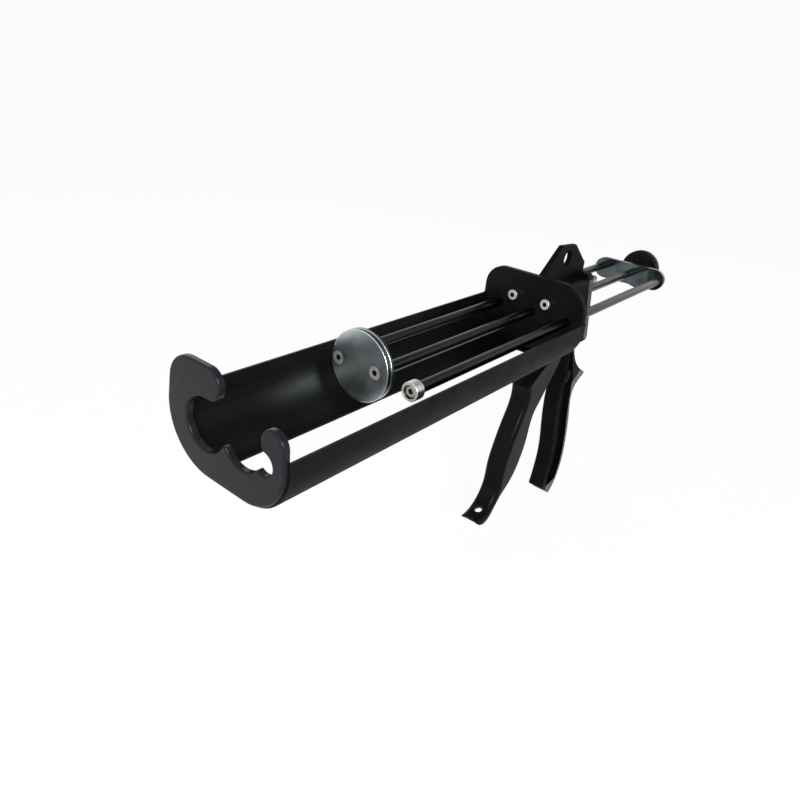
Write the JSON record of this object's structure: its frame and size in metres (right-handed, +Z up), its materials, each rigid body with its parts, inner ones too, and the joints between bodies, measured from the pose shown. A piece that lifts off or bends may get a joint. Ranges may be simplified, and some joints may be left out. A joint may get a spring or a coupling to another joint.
{
  "type": "caulking gun",
  "caption": "Manual caulking gun with a slotted trough for paired cartridges, a hooked front plate, bridged push rods with large and small plungers, a trigger, a fixed grip and a pull knob.",
  "frame": {"origin": "centre of the hang hole in the ear on top of the cast body", "axes": "+X along the rods towards the user's end, -X towards the nozzle end, +Y to the large cartridge's side, +Z up"},
  "size_m": [0.4598, 0.0792, 0.2301],
  "materials": {
    "black_paint": "satin",
    "charcoal_paint": "satin",
    "cast_paint": "semi-gloss",
    "trigger_paint": "semi-gloss",
    "rod_steel": "drawn",
    "zinc_plate": "zinc plated",
    "plunger_zinc": "dull zinc plated",
    "bright_steel": "machined",
    "dark_steel": "hardened",
    "spring_steel": "drawn",
    "seal_rubber": "matte",
    "knob_plastic": "moulded"
  },
  "bodies": {
    "frame": {"cradle": "black_paint", "front_plate": "charcoal_paint", "rear_plate": "black_paint", "body_casting": "cast_paint", "plate_screws": "bright_steel", "plate_rivets": "dark_steel", "trigger_pivot_pin": "bright_steel", "pivot_circlips": "dark_steel", "trigger_stop_pin": "bright_steel", "release_pin": "bright_steel", "drive_spring": "spring_steel", "release_spring": "spring_steel"},
    "carriage": {"large_rod": "rod_steel", "drive_rod": "rod_steel", "small_rod": "rod_steel", "plunger_face": "plunger_zinc", "plunger_seal": "seal_rubber", "plunger_back": "plunger_zinc", "plunger_screws": "bright_steel", "small_plunger": "bright_steel", "small_plunger_screw": "bright_steel", "rear_bridge": "zinc_plate", "bridge_screws": "bright_steel", "bridge_lock_nut": "bright_steel", "pull_knob": "knob_plastic"},
    "trigger_lever": {"trigger": "trigger_paint", "thrust_pin": "dark_steel"},
    "driver": {"drive_plate_front": "dark_steel", "drive_plate_rear": "dark_steel"},
    "release_lever": {"release_plate": "zinc_plate"}
  },
  "joints": [
    {"name": "carriage_slide", "type": "slide", "parent": "frame", "child": "carriage", "axis": [1, 0, 0], "range_m": [-0.085, 0.152]},
    {"name": "trigger_squeeze", "type": "hinge", "parent": "frame", "child": "trigger_lever", "pos_m": [0.0127, 0, -0.0533], "axis": [0, -1, 0], "range_deg": [0, 22], "stiffness_Nm_per_rad": 0.8, "springref_deg": -17.19},
    {"name": "drive_stroke", "type": "slide", "parent": "frame", "child": "driver", "axis": [1, 0, 0], "range_m": [-0.0042, 0], "deforming": ["drive_spring"]},
    {"name": "release_tilt", "type": "hinge", "parent": "frame", "child": "release_lever", "pos_m": [0.0353, 0, -0.0198], "axis": [0, 1, 0], "range_deg": [0, 3.5], "stiffness_Nm_per_rad": 1, "springref_deg": -5.73, "deforming": ["release_spring"]}
  ],
  "couplings": [
    {"joint": "drive_stroke", "follows": "trigger_squeeze", "m_per_rad": -0.01}
  ]
}
